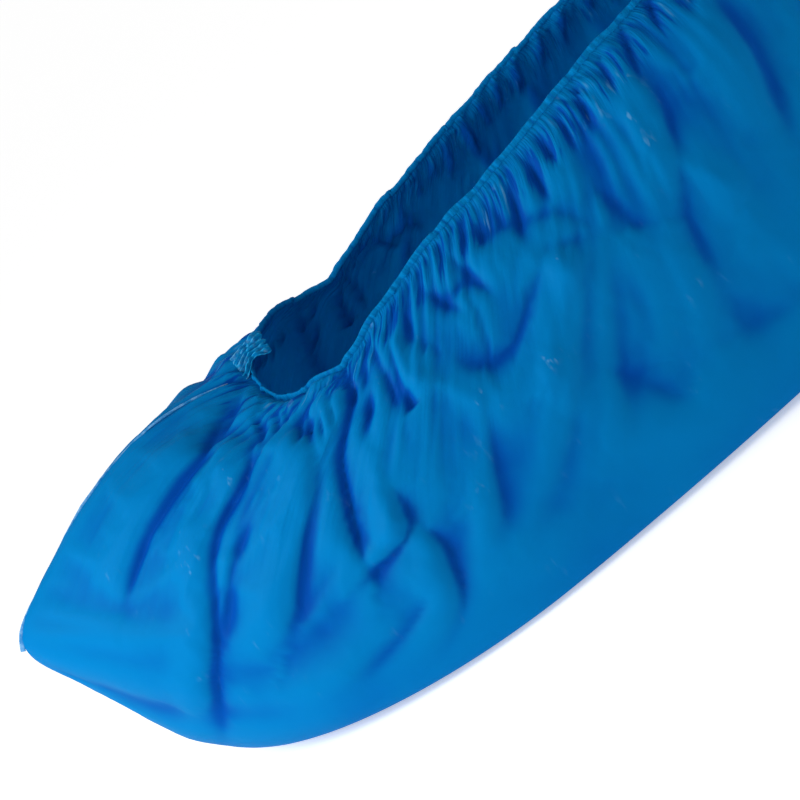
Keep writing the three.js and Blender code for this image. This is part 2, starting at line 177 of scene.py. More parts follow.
# Short deep slits between the ruffles under the hem, from their top end to their bottom end in
# the same side view.
SLIT_COLUMNS = ("right", "down", "end_right", "end_down", "width", "depth")
SLITS = [dict(zip(SLIT_COLUMNS, row)) for row in (
    (-1.5, -0.5, -9.5, 1.5, 2.2, 3.0),
    (-3.6, 5.6, -4.2, 7.8, 0.9, 1.2),
    (-1.6, 8.1, -4.8, 10.8, 1.0, 1.8),
    (2.6, 9.4, 0.1, 11.5, 0.9, 1.6),
    (4.4, 9.9, 3.0, 12.1, 0.8, 1.0),
    (7.0, 13.2, 3.9, 17.0, 1.0, 2.2),
    (8.8, 13.8, 6.2, 18.0, 1.0, 2.2),
    (11.8, 16.0, 9.2, 20.2, 1.0, 2.0),
    (16.6, 14.6, 13.8, 19.0, 1.1, 1.8),
    (22.8, 14.0, 20.7, 17.6, 1.1, 2.0),
    (29.3, 13.4, 25.7, 16.8, 1.2, 1.8),
    (25.6, 19.8, 21.0, 25.0, 1.7, 2.4),
    (36.9, 13.2, 33.5, 21.2, 1.3, 2.4),
    (33.6, 21.5, 31.7, 30.0, 2.0, 2.4),
    (44.5, 10.5, 43.0, 15.0, 1.2, 1.0),
    (51.0, 8.6, 54.5, 15.6, 1.8, 2.0),
    (54.5, 15.4, 59.5, 14.6, 2.0, 2.0),
    (62.6, 8.0, 64.4, 15.6, 1.8, 2.4),
    (73.0, 3.0, 72.0, 8.0, 1.4, 1.2),
    (79.6, 1.4, 78.8, 6.6, 1.4, 1.4),
    (86.6, -1.0, 83.4, 8.0, 1.4, 2.2),
    (93.0, -4.0, 92.6, 5.0, 1.6, 2.6),
    (99.0, -5.6, 99.4, 1.4, 1.6, 2.0),
    (107.0, -8.0, 106.0, 0.0, 1.4, 1.8),
    (115.0, -10.0, 113.0, -1.0, 1.6, 2.2),
    (124.0, -12.0, 123.0, -4.0, 1.4, 1.8),
    (133.0, -15.0, 131.0, -5.0, 1.6, 2.2),
    (143.0, -18.0, 142.0, -10.0, 1.4, 1.8),
    (153.0, -20.0, 152.0, -10.0, 1.6, 2.2),
    (163.0, -22.0, 164.0, -14.0, 1.4, 1.8),
)]
SLIT_STRETCH = 1.9  # each slit runs on past its deep stretch as a soft groove
SLIT_REACH = 36.0  # no slit lies further below the hem
FAR_SLIT_SHIFT = (4.0, 1.5)  # the far side's slits lie a little elsewhere, right and down

VIEW_TILT = 16.0  # degrees from which the side view looks down
VIEW_FROM = 700.0  # its distance in mm

PLEAT_CELLS = 40  # stretches of the hem in which pleats are looked up
LONGEST_PLEAT = 42.0
WIDEST_PLEAT = 5.0


class CoverSizes(bpy.types.PropertyGroup):
    """Sizes of the film, its gathers and its hem"""

    columns: IntProperty(
        name="Columns", description="Film columns from toe to heel on each side",
        default=396, min=64, max=600)
    rows: IntProperty(
        name="Rows", description="Film rows from the hem to the middle of the sole",
        default=116, min=30, max=200)
    settling_columns: IntProperty(
        name="Settling columns", description="Columns on each side while the film settles",
        default=190, min=64, max=400)
    film_thickness: FloatProperty(
        name="Film thickness", description="Thickness given to the film's wall",
        default=0.25 * MM, min=0.05 * MM, max=1.5 * MM, subtype="DISTANCE", unit="LENGTH")
    gather_count: IntProperty(
        name="Gathers", description="Gathers round the whole hem",
        default=88, min=8, max=160)
    gather_depth: FloatProperty(
        name="Gather depth", description="Depth of the gathers below the hem",
        default=0.75 * MM, min=0.0, max=5 * MM, subtype="DISTANCE", unit="LENGTH")
    pleat_count: IntProperty(
        name="Pleats", description="Fine pleats on each side that start at the hem",
        default=105, min=0, max=300)
    pleat_depth: FloatProperty(
        name="Pleat depth", description="Depth of the deepest fine pleat",
        default=0.8 * MM, min=0.0, max=4 * MM, subtype="DISTANCE", unit="LENGTH")
    crumple_depth: FloatProperty(
        name="Crumple", description="Height of the small crumples all over the film",
        default=0.2 * MM, min=0.0, max=2 * MM, subtype="DISTANCE", unit="LENGTH")
    hem_height: FloatProperty(
        name="Hem height", description="Height of the casing round the elastic",
        default=1.7 * MM, min=1 * MM, max=6 * MM, subtype="DISTANCE", unit="LENGTH")
    hem_thickness: FloatProperty(
        name="Hem thickness", description="Thickness of the casing round the elastic",
        default=0.8 * MM, min=0.5 * MM, max=4 * MM, subtype="DISTANCE", unit="LENGTH")
    weld_width: FloatProperty(
        name="Weld width", description="Width of the weld's pale fin at the toe corner",
        default=1.4 * MM, min=0.5 * MM, max=6 * MM, subtype="DISTANCE", unit="LENGTH")


class CoverColours(bpy.types.PropertyGroup):
    """Colours of the film and the light"""

    film: FloatVectorProperty(
        name="Film", description="Colour of the film in full light",
        default=(0.0, 0.240, 0.59), size=3, min=0, max=1, subtype="COLOR")
    # Painted shade: this colour stands for the shade in folds and hollows as well as for the film
    # lying double there.
    film_double_and_shade: FloatVectorProperty(
        name="Film in folds", description="Colour where the film lies double in a fold",
        default=(0.0, 0.083, 0.44), size=3, min=0, max=1, subtype="COLOR")
    # Also painted highlight: besides the whitened crease marks, this colour paints highlights on
    # ridges and glints by the gathers.
    crease: FloatVectorProperty(
        name="Crease", description="Colour of the whitened crease marks",
        default=(0.20, 0.54, 0.84), size=3, min=0, max=1, subtype="COLOR")
    weld: FloatVectorProperty(
        name="Weld", description="Colour of the pale weld",
        default=(0.16, 0.42, 0.72), size=3, min=0, max=1, subtype="COLOR")
    tab: FloatVectorProperty(
        name="Tab", description="Colour of the crumpled spare film",
        default=(0.0, 0.38, 0.76), size=3, min=0, max=1, subtype="COLOR")
    floor: FloatVectorProperty(
        name="Floor", description="Colour of the floor",
        default=(0.92, 0.92, 0.92), size=3, min=0, max=1, subtype="COLOR")
    sky_strength: FloatProperty(
        name="Sky", description="Strength of the even studio light", default=0.42, min=0)
    key_strength: FloatProperty(
        name="Key", description="Strength of the light from the toe's side", default=1.2, min=0)
    toe_light: FloatProperty(
        name="Toe light", description="Power of the near light on the toe", default=0.95, min=0,
        subtype="POWER", unit="POWER")


def smooth_step(low, high, value):
    """0 below low, 1 above high, and smooth between them."""
    share = min(1.0, max(0.0, (value - low) / (high - low)))
    return share * share * (3 - 2 * share)


def level_loop(level):
    """A level's closed line: toe end, near side, heel end and back along the far side."""
    leaning = max(0.0, 1 - LEVELS.index(level) / LEAN_LEVELS)
    front_reach = MIDDLE_X - level["front"]
    back_reach = level["back"] - MIDDLE_X
    near, far = [], []
    for i in range(2 * LEVEL_STEPS + 1):
        in_front = i <= LEVEL_STEPS
        turn = (i if in_front else 2 * LEVEL_STEPS - i) / LEVEL_STEPS * math.pi / 2
        across = math.sin(turn)
        tip = level["tip_front"] if in_front else level["tip_back"]
        reach = max(0.0, 1 - across ** tip) ** (0.5 if in_front else 1 / SIDE_SQUARENESS)
        y = across * level["half"]
        tilt = 0.0
        if in_front:
            x = MIDDLE_X - front_reach * reach
            z = level["z_middle"] + (level["z_front"] - level["z_middle"]) * reach ** 2
            tilt = leaning * y * reach
        else:
            x = MIDDLE_X + back_reach * reach
            y *= 1 - level["taper"] * reach ** TAPER_CURVE
            rise = level["z_back"] - level["z_middle"]
            z = level["z_middle"] + rise * reach ** level["climb"]
        near.append(Vector((x, -y, z - NEAR_LEAN * tilt)))
        far.append(Vector((x, y, z + FAR_LEAN * tilt)))
    return near + far[-2::-1]


def spread_along(line, count):
    """count points spread evenly along a closed line whose last point repeats its first."""
    lengths = [0.0]
    for a, b in zip(line, line[1:]):
        lengths.append(lengths[-1] + (b - a).length)
    points = []
    at = 0
    for i in range(count):
        wanted = lengths[-1] * i / count
        while lengths[at + 1] < wanted:
            at += 1
        share = (wanted - lengths[at]) / (lengths[at + 1] - lengths[at])
        points.append(line[at].lerp(line[at + 1], share))
    return points


def smooth_between(a, b, c, d, t):
    """The point at share t from b to c, on the smooth line through a, b, c and d."""
    return 0.5 * (
        2 * b + (c - a) * t + (2 * a - 5 * b + 4 * c - d) * t * t
        + (3 * b - a - 3 * c + d) * t * t * t)


SOFTENING = (0.06, 0.11, 0.20, 0.26, 0.20, 0.11, 0.06)  # weights of a row and its neighbours
SOFT_UP_TO_X = -126.0  # nearer the toe's tip than this the form keeps its corner
CORNER_FROM_X = -138.0


def smooth_form(columns):
    """Rows of points round the foot, each with its place among the levels."""
    loops = [spread_along(level_loop(level), columns) for level in LEVELS]
    last = len(LEVELS) - 1
    rows = []
    for k, level in enumerate(LEVELS):
        for r in range(level["rows"] if k < last else 1):
            share = r / level["rows"]
            around = (loops[max(0, k - 1)], loops[k], loops[min(last, k + 1)],
                      loops[min(last, k + 2)])
            row = [smooth_between(*points, share) for points in zip(*around)]
            rows.append((k + share, row))
    return softened(rows)


def softened(rows):
    """The rows with the ridges between their levels smoothed, but for hem, toe corner and sole."""
    reach = len(SOFTENING) // 2
    made = rows[:reach]
    for r in range(reach, len(rows) - reach):
        place, sharp_row = rows[r]
        near = [row for _, row in rows[r - reach:r + reach + 1]]
        row = []
        for sharp, points in zip(sharp_row, zip(*near)):
            soft = sum((point * weight for point, weight in zip(points, SOFTENING)), Vector())
            row.append(soft.lerp(sharp, smooth_step(-SOFT_UP_TO_X, -CORNER_FROM_X, -sharp.x)))
        made.append((place, row))
    return made + rows[-reach:]


def normals_of(rows):
    """The outward direction at every point of rows that close on themselves."""
    found = []
    for r, row in enumerate(rows):
        above = rows[max(0, r - 1)]
        below = rows[min(len(rows) - 1, r + 1)]
        count = len(row)
        found.append([
            (below[i] - above[i]).cross(row[(i + 1) % count] - row[i - 1]).normalized()
            for i in range(count)
        ])
    return found


def seen_from_side(point, side):
    """Right and down in mm from the hem's front end, as a viewer at that side sees a point."""
    tilt = math.radians(VIEW_TILT)
    rise = point.z - HEM_FRONT_Z
    towards = side * point.y * math.cos(tilt) + rise * math.sin(tilt)
    up = rise * math.cos(tilt) - side * point.y * math.sin(tilt)
    near = VIEW_FROM / (VIEW_FROM - towards)
    return (point.x - HEM_FRONT_X) * near, -up * near


def smooth_path(path, steps=3):
    """A path's points, with more between them on one smooth line."""
    if len(path) < 3:
        return path
    last = len(path) - 1
    points = []
    for k in range(last):
        around = [Vector(path[min(last, max(0, k + j))]) for j in (-1, 0, 1, 2)]
        points += [tuple(smooth_between(*around, step / steps)) for step in range(steps)]
    return (*points, path[-1])


class FoldLine:
    """A fold's line, ready to be measured from."""

    def __init__(self, fold):
        self.fold = fold
        path = smooth_path(fold["path"])
        self.spans = []
        run = 0.0
        for (ax, ay), (bx, by) in zip(path, path[1:]):
            length = math.hypot(bx - ax, by - ay)
            self.spans.append((ax, ay, (bx - ax) / length, (by - ay) / length, length, run))
            run += length
        self.length = run
        margin = 3 * fold["width"]
        self.left = min(p[0] for p in path) - margin
        self.right = max(p[0] for p in path) + margin
        self.top = min(p[1] for p in path) - margin
        self.bottom = max(p[1] for p in path) + margin

    def depth_at(self, x, y):
        """How far inwards the fold takes the film at a point of the side view."""
        if not (self.left < x < self.right and self.top < y < self.bottom):
            return 0.0
        best, along, side = 1e9, 0.0, 1.0
        for ax, ay, ux, uy, length, run in self.spans:
            step = min(length, max(0.0, (x - ax) * ux + (y - ay) * uy))
            away = math.hypot(x - ax - step * ux, y - ay - step * uy)
            if away < best:
                best, along = away, run + step
                side = math.copysign(1.0, (x - ax) * uy - (y - ay) * ux)
        share = along / self.length
        fade = self.fold["fade"]
        ends = smooth_step(-0.12, fade, share) * smooth_step(-0.12, fade, 1 - share)
        away = best / self.fold["width"]
        lip = self.fold["lip"]
        if lip:
            steepness = 1 + FOLD_LEAN * side * math.copysign(1.0, lip)
            valley = math.exp(-(away / steepness) ** FOLD_SHARPNESS)
            from_lip = away * side + math.copysign(1.5, lip)
            valley -= 0.6 * abs(lip) * math.exp(-from_lip * from_lip)
        else:
            valley = math.exp(-away ** FOLD_SHARPNESS)
        return self.fold["depth"] * ends * valley


class FinePleats:
    """Short sharp pleats that start under the hem, laid out at random but the same each time."""

    def __init__(self, count, depth, seed):
        chance = random.Random(seed)
        self.cells = {}
        for k in range(count):
            at = (k + chance.uniform(-0.4, 0.4)) / count
            pleat = {
                "at": at,
                "lean": chance.uniform(-0.35, 0.35),
                "length": chance.choice((6, 8, 11, 15, 24)) * chance.uniform(0.8, 1.2),
                "width": chance.uniform(0.8, 1.6),
                "depth": depth * chance.uniform(0.35, 1.0),
            }
            self.cells.setdefault(int(at * PLEAT_CELLS), []).append(pleat)

    def depth_at(self, share, down, hem_length):
        """share is the place from toe to heel along the hem, down the way below it in mm."""
        if down > LONGEST_PLEAT:
            return 0.0
        total = 0.0
        cell = int(share * PLEAT_CELLS)
        for k in (cell - 1, cell, cell + 1):
            for pleat in self.cells.get(k, ()):
                if down > pleat["length"]:
                    continue
                away = (share - pleat["at"]) * hem_length + pleat["lean"] * down
                if abs(away) > WIDEST_PLEAT:
                    continue
                run = down / pleat["length"]
                body = smooth_step(0.0, 0.18, run) * (1 - run) ** 0.8
                total += pleat["depth"] * body * math.exp(-abs(away / pleat["width"]) ** 1.3)
        return total


CRUMPLE_SCALE = 0.035
CRUMPLE_SHIFT = 4.0
GATHERED_LEVELS = 4.0  # the gathers have run out this many levels below the hem


def crumple_at(point):
    """Small crumples of the film: flat facets that meet in fine creases, from -1 to 1."""
    spot = point * CRUMPLE_SCALE
    spot.x += CRUMPLE_SHIFT
    bend = noise.noise_vector(spot * 2.1) * 0.35
    broad = noise.noise(spot * 1.7 + bend)
    folded = 1 - 2 * abs(noise.noise(spot * 3.3 + bend * 1.5))
    fine = 1 - 2 * abs(noise.noise(spot * 7.5 + bend * 2.0))
    return 0.9 * broad + 0.45 * folded + 0.18 * fine - 0.35


def gather_wave(share, place, sizes):
    """Gathers: uneven waves that run down from the hem."""
    if place >= GATHERED_LEVELS:
        return 0.0
    strength = smooth_step(-0.1, 0.6, place) * (1 - smooth_step(0.6, GATHERED_LEVELS, place))
    wobble = noise.noise(Vector((share * 21.0, place * 0.3, 3.7)))
    loud = 0.4 + 1.5 * noise.noise(Vector((share * 29.0, 1.3 + place * 0.4, 8.1)))
    from_toe = min(share, 1 - share) * 2
    loud *= 1 - 0.35 * smooth_step(0.15, 0.4, from_toe)
    turn = share * sizes.gather_count + wobble * 2.6
    wave = math.cos(2 * math.pi * turn)
    sharpened = wave if wave > 0 else -abs(wave) ** 0.8
    return sizes.gather_depth / MM * strength * max(0.0, loud) * sharpened


def fold_lines():
    """The folds of the near side and of the far side."""
    return {
        -1: [FoldLine(fold) for fold in NEAR_FOLDS],
        1: [FoldLine(fold) for fold in FAR_FOLDS],
    }


def slit_lines():
    """The slits as short folds."""
    lines = []
    for slit in SLITS:
        top = Vector((slit["right"], slit["down"]))
        bottom = Vector((slit["end_right"], slit["end_down"]))
        tail = top.lerp(bottom, SLIT_STRETCH)
        lines.append(FoldLine({
            "width": slit["width"],
            "depth": slit["depth"],
            "lip": 0.0,
            "fade": 0.5,
            "path": (tuple(top), tuple(tail)),
        }))
    return lines


def crease_lines(folds):
    """The thin creases at the bottom of the folds."""
    return [
        FoldLine({**fold, "width": CREASE_WIDTH, "depth": CREASE_SHARE * fold["depth"], "lip": 0.0})
        for fold in folds
        if fold["depth"] > 0 and fold["width"] < SOFTEST_CREASED
    ]


def slit_depth(point, side, slits):
    """How far inwards the short slits take a point of the form, in mm."""
    x, y = seen_from_side(point, side)
    if side > 0:
        x, y = x + FAR_SLIT_SHIFT[0], y + FAR_SLIT_SHIFT[1]
    return sum(slit.depth_at(x, y) for slit in slits)


def row_and_column(count, around):
    """Every grid place of the film, row by row."""
    return [(r, i) for r in range(count) for i in range(around)]


def fold_depth(point, side, lines):
    """How far inwards the folds take a point of the form, in mm."""
    x, y = seen_from_side(point, side)
    fold = sum(line.depth_at(x, y) for line in lines[side])
    off_middle = min(1.0, abs(point.y) / 9)
    return fold * off_middle * smooth_step(4.0, 28.0, point.z)


def grid_faces(row_count, around):
    """The faces of rows that close on themselves."""
    faces = []
    for r in range(row_count - 1):
        for i in range(around):
            j = (i + 1) % around
            a, b = r * around, (r + 1) * around
            faces.append((a + i, b + i, b + j, a + j))
    return faces


def spare_width_at(place):
    """How much wider than the form the film was cut at a place among the levels."""
    level = min(len(SPARE_WIDTH) - 2, int(place))
    return SPARE_WIDTH[level] + (SPARE_WIDTH[level + 1] - SPARE_WIDTH[level]) * (place - level)


def cut_rows(form, folded):
    """The rows as the film was cut: wider than the form, most of all at the hem."""
    rows = []
    for (place, _), row in zip(form, folded):
        spare = spare_width_at(place)
        middle = sum(row, Vector()) / len(row)
        rows.append([
            Vector((middle.x + (p.x - middle.x) * spare, p.y * spare, p.z * SPARE_HEIGHT))
            for p in row
        ])
    return rows


SIM_SIZE = 0.01  # the film is simulated ten times as large, where the solver is steadier
SIM_FRAMES = 22
FOOT_CLEARANCE = 6.5  # the form inside the film is this much smaller, in mm
FOOT_SKIN = 0.004
FOOT_CORE = 0.1
FILM_CLEARANCE = 0.006
RESTS_BELOW = 1.5  # film below this height lies on the floor and is held, in mm
WELD_HOLD = (0.9, 0.3, 0.3)  # how firmly the columns at a weld are held, from the weld outwards
CLOTH_SETTINGS = {
    "quality": 8,
    "mass": 0.15,
    "air_damping": 4.0,
    "bending_model": "ANGULAR",
    "tension_stiffness": 40,
    "compression_stiffness": 40,
    "shear_stiffness": 12,
    "bending_stiffness": 0.25,
    "tension_damping": 8,
    "compression_damping": 8,
    "shear_damping": 8,
    "bending_damping": 0.5,
    "vertex_group_mass": "pins",
    "pin_stiffness": 2.0,
    "use_pressure": True,
    "uniform_pressure_force": 0.06,
}
SIM_GRAVITY = 0.3


def sim_object(name, rows, faces):
    """A mesh object of rows in mm, for the settling alone."""
    mesh = bpy.data.meshes.new(name)
    mesh.from_pydata([point * SIM_SIZE for row in rows for point in row], [], faces)
    made = bpy.data.objects.new(name, mesh)
    bpy.context.collection.objects.link(made)
    return made


def settle_film(form, folded, normals):
    """Lets the film buckle over the foot's form: its spare width turns into real gathers."""
    around = len(folded[0])
    faces = grid_faces(len(folded), around)
    film = sim_object("film_settling", folded, faces)
    film.shape_key_add(name="Basis")
    cut = film.shape_key_add(name="cut")
    for k, point in enumerate(p for row in cut_rows(form, folded) for p in row):
        cut.data[k].co = point * SIM_SIZE
    cut.value = 0.0

    pins = film.vertex_groups.new(name="pins")
    for r, i in row_and_column(len(folded), around):
        from_weld = min(i, around - i, abs(i - around // 2))
        held = 0.0
        if r in (0, len(folded) - 1) or form[r][1][i].z < RESTS_BELOW:
            held = 1.0
        elif from_weld < len(WELD_HOLD):
            held = WELD_HOLD[from_weld]
        if held:
            pins.add([r * around + i], held, "REPLACE")

    foot_rows = [
        [point - outwards * FOOT_CLEARANCE for point, outwards in zip(row, row_normals)]
        for (_, row), row_normals in zip(form, normals)
    ]
    foot = sim_object("foot_form", foot_rows, faces)
    foot.modifiers.new("solid", "COLLISION")
    foot.collision.thickness_outer = FOOT_SKIN
    foot.collision.thickness_inner = FOOT_CORE

    cloth = film.modifiers.new("settle", "CLOTH")
    cloth.point_cache.frame_start = 1
    cloth.point_cache.frame_end = SIM_FRAMES + 2
    cloth.collision_settings.distance_min = FILM_CLEARANCE
    for name, value in CLOTH_SETTINGS.items():
        setattr(cloth.settings, name, value)
    cloth.settings.rest_shape_key = cut
    cloth.settings.effector_weights.gravity = SIM_GRAVITY

    scene = bpy.context.scene
    for frame_number in range(1, SIM_FRAMES + 1):
        scene.frame_set(frame_number)
    seen = film.evaluated_get(bpy.context.evaluated_depsgraph_get())
    spots = [vertex.co / SIM_SIZE for vertex in seen.data.vertices]
    scene.frame_set(1)
    for made in (film, foot):
        mesh = made.data
        bpy.data.objects.remove(made)
        bpy.data.meshes.remove(mesh)
    return [spots[r * around:(r + 1) * around] for r in range(len(folded))]


DEEPEST_FOLD = 6.0  # the furthest that the film goes inwards from the smooth form, in mm
HIGHEST_FOLD = 3.5
TOE_CLOSENESS = 0.38  # how much closer the columns lie at the toe
SETTLED_SHARE = 0.4  # how far the film goes from its drawn folds to where it settles
SLACK_HEIGHT = 1.7  # the height of the film's broad slack waves
SLACK_SCALE = 0.036
NEAR_WINDOW = (4, 7)  # rows and columns over which a hollow is measured
FAR_WINDOW = (11, 20)


def settled_share(point):
    """How far a point of the drawn film goes to where it settles: less far near the sole."""
    return SETTLED_SHARE * smooth_step(8.0, 32.0, point.z)


def held_near(rows, form, normals):
    """Keeps the film within its greatest fold depth and height of the smooth form."""
    kept = []
    for row, (_, smooth_row), row_normals in zip(rows, form, normals):
        kept_row = []
        for point, smooth, outwards in zip(row, smooth_row, row_normals):
            height = (point - smooth).dot(outwards)
            wanted = min(HIGHEST_FOLD, max(-DEEPEST_FOLD, height))
            moved = point + outwards * (wanted - height)
            moved.z = max(0.0, moved.z)
            kept_row.append(moved)
        kept.append(kept_row)
    return kept


def share_of_side(k, count):
    """Column k's share of the way from toe to heel. Columns lie closer at the toe."""
    share = 2 * k / count
    if share > 1:
        share = 2 - share
    return share * (1 - TOE_CLOSENESS) + share * share * TOE_CLOSENESS


def finer_row(row, count):
    """A closed row with more points on the same smooth line."""
    around = len(row)
    points = []
    for k in range(count):
        at = share_of_side(k, count) * around / 2
        if 2 * k > count:
            at = around - at
        i = int(at)
        points.append(smooth_between(
            row[i - 1], row[i % around], row[(i + 1) % around], row[(i + 2) % around], at - i))
    return points


def finer(rows, row_count, column_count):
    """The same surface with more rows and columns."""
    wide = [finer_row(row, column_count) for row in rows]
    last = len(wide) - 1
    made = []
    for k in range(row_count):
        at = k * last / (row_count - 1)
        r = min(last - 1, int(at))
        around = (wide[max(0, r - 1)], wide[r], wide[r + 1], wide[min(last, r + 2)])
        made.append([smooth_between(*points, at - r) for points in zip(*around)])
    return made


def folded_rows(form, normals, lines):
    """The first shape of the film, with its main folds, before it settles."""
    around = len(form[0][1])
    rows = []
    for (_, row), row_normals in zip(form, normals):
        new_row = []
        for i, point in enumerate(row):
            side = -1 if i <= around // 2 else 1
            inwards = FOLD_STRENGTH * fold_depth(point, side, lines)
            slack = SLACK_HEIGHT * noise.noise(point * SLACK_SCALE)
            outwards = slack * smooth_step(2.0, 20.0, point.z)
            moved = point + row_normals[i] * (outwards - inwards)
            moved.z = max(0.0, moved.z)
            new_row.append(moved)
        rows.append(new_row)
    return rows


def blurred(field, rows_wide, columns_wide):
    """A field on the film's grid, averaged over a window of cells."""
    def averaged(values, wide, closed):
        count = len(values)
        total, sums = 0.0, [0.0]
        if closed:
            values = values[-wide:] + values + values[:wide]
        for value in values:
            total += value
            sums.append(total)
        if closed:
            return [(sums[k + 2 * wide + 1] - sums[k]) / (2 * wide + 1) for k in range(count)]
        averages = []
        for k in range(count):
            low, high = max(0, k - wide), min(count, k + wide + 1)
            averages.append((sums[high] - sums[low]) / (high - low))
        return averages

    along = [averaged(row, columns_wide, True) for row in field]
    down = [averaged(list(column), rows_wide, False) for column in zip(*along)]
    return [list(row) for row in zip(*down)]


def film_rows(sizes):
    """The film's rows in mm, and what its colour needs to know at each of their points."""
    coarse = 2 * sizes.settling_columns
    form = smooth_form(coarse)
    normals = normals_of([row for _, row in form])
    lines = fold_lines()
    rows = folded_rows(form, normals, lines)
    settled = settle_film(form, rows, normals)
    rows = [
        [drawn.lerp(moved, settled_share(drawn)) for drawn, moved in zip(*pair)]
        for pair in zip(rows, settled)
    ]
    rows = held_near(rows, form, normals)

    around = 2 * sizes.columns
    places = [place for place, _ in form]
    fine_smooth = finer([row for _, row in form], sizes.rows, around)
    fine = finer(rows, sizes.rows, around)
    fine_smooth_normals = normals_of(fine_smooth)
    pleats = {
        -1: FinePleats(sizes.pleat_count, sizes.pleat_depth / MM, 11),
        1: FinePleats(sizes.pleat_count, sizes.pleat_depth / MM, 23),
    }
    hem = fine_smooth[0]
    hem_length = sum((a - b).length for a, b in zip(hem, hem[1:] + hem[:1])) / 2
    made, heights, falls = [], [], []
    slits = slit_lines()
    creases = {-1: crease_lines(NEAR_FOLDS), 1: crease_lines(FAR_FOLDS)}
    fallen = [0.0] * around
    for r, row in enumerate(fine):
        at = r * (len(places) - 1) / (sizes.rows - 1)
        place = places[int(at)]
        if r:
            fallen = [
                down + (spot - above).length
                for down, spot, above in zip(fallen, fine_smooth[r], fine_smooth[r - 1])
            ]
        new_row, new_heights = [], []
        for i, point in enumerate(row):
            smooth = fine_smooth[r][i]
            side = -1 if i <= sizes.columns else 1
            share = share_of_side(i, around)
            above_floor = smooth_step(2.0, 20.0, smooth.z)
            inwards = pleats[side].depth_at(share, fallen[i], hem_length)
            inwards += fold_depth(smooth, side, creases)
            if fallen[i] < SLIT_REACH:
                inwards += slit_depth(smooth, side, slits)
            loose = smooth_step(0.3, 2.5, place) * above_floor
            outwards = crumple_at(smooth) * loose * sizes.crumple_depth / MM
            outwards += gather_wave(share / 2 if side < 0 else 1 - share / 2, place, sizes)
            moved = point + fine_smooth_normals[r][i] * (outwards - inwards)
            moved.z = max(0.0, moved.z)
            new_row.append(moved)
            new_heights.append((moved - smooth).dot(fine_smooth_normals[r][i]))
        made.append(new_row)
        heights.append(new_heights)
        falls.append(fallen)
    near_average = blurred(heights, *NEAR_WINDOW)
    far_average = blurred(heights, *FAR_WINDOW)
    # How far each point lies below its neighbours. The film's colour uses it for painted shade in
    # hollows and painted highlights on ridges.
    hollows = [
        [0.6 * (a - h) + 0.4 * (b - h) for a, b, h in zip(near_row, far_row, row)]
        for near_row, far_row, row in zip(near_average, far_average, heights)
    ]
    along = [hem_length * share_of_side(i, around) for i in range(around)]
    return made, {"hollow": hollows, "below": falls, "along": [along] * len(made)}


def in_frame(point):
    """A point of the form, in mm, as a place in the frame, in metres."""
    return ORIGIN + point * MM


def mesh_piece(name, points, faces):
    """A new piece from points in metres and faces."""
    mesh = bpy.data.meshes.new(name)
    mesh.from_pydata(points, [], faces)
    mesh.validate()
    mesh.polygons.foreach_set("use_smooth", [True] * len(mesh.polygons))
    piece = bpy.data.objects.new(name, mesh)
    bpy.context.collection.objects.link(piece)
    return piece


def select_only(piece):
    bpy.ops.object.select_all(action="DESELECT")
    piece.select_set(True)
    bpy.context.view_layer.objects.active = piece


def give_wall(piece, thickness, offset=-1.0):
    """Turns a sheet into a closed wall."""
    select_only(piece)
    wall = piece.modifiers.new("wall", "SOLIDIFY")
    wall.thickness = thickness
    wall.offset = offset
    wall.use_even_offset = False
    bpy.ops.object.modifier_apply(modifier=wall.name)


def quads(row_count, column_count, flip=False):
    """The faces of rows that are open at both ends."""
    faces = []
    for r in range(row_count - 1):
        for i in range(column_count - 1):
            a = r * column_count + i
            face = (a, a + column_count, a + column_count + 1, a + 1)
            faces.append(face[::-1] if flip else face)
    return faces


def film_side(name, rows, measures, side, sizes):
    """One side of the bag, from the toe weld to the heel weld and down to the sole's middle."""
    count = sizes.columns + 1
    if side < 0:
        order = list(range(count))
    else:
        around = 2 * sizes.columns
        order = [(around - i) % around for i in range(count)]
    casing = finer_row(hem_line(2 * sizes.settling_columns), 2 * sizes.columns)
    sole_middle = [Vector((edge.x, 0.0, 0.0)) for edge in rows[-1]]
    points = [in_frame(row[i]) for row in (casing, *rows, sole_middle) for i in order]
    piece = mesh_piece(name, points, quads(len(rows) + 2, count, flip=side > 0))
    for measure, values in measures.items():
        attribute = piece.data.attributes.new(measure, "FLOAT", "POINT")
        attribute.data.foreach_set(
            "value", [row[i] for row in (values[0], *values, values[-1]) for i in order])
    give_wall(piece, sizes.film_thickness)
    return piece


def dress(piece, material):
    """Gives a piece its material and its body."""
    piece.data.materials.clear()
    piece.data.materials.append(material)
    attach(piece, BODY)


class Value:
    """A socket of a material, so that shader maths reads as an expression."""

    def __init__(self, finish, socket):
        self.finish = finish
        self.socket = socket

    def maths(self, operation, *others):
        return self.finish.node("ShaderNodeMath", {"operation": operation},
                                {0: self, **{k + 1: v for k, v in enumerate(others)}})

    def __add__(self, other):
        return self.maths("ADD", other)

    __radd__ = __add__

    def __mul__(self, other):
        return self.maths("MULTIPLY", other)

    __rmul__ = __mul__

    def __sub__(self, other):
        return self.maths("SUBTRACT", other)

    def __rsub__(self, other):
        return self.finish.node("ShaderNodeMath", {"operation": "SUBTRACT"}, {0: other, 1: self})

    def between(self, low, high):
        """0 below low, 1 above high, and smooth between them."""
        return self.finish.node(
            "ShaderNodeMapRange", {"interpolation_type": "SMOOTHSTEP"},
            {"Value": self, "From Min": low, "From Max": high})


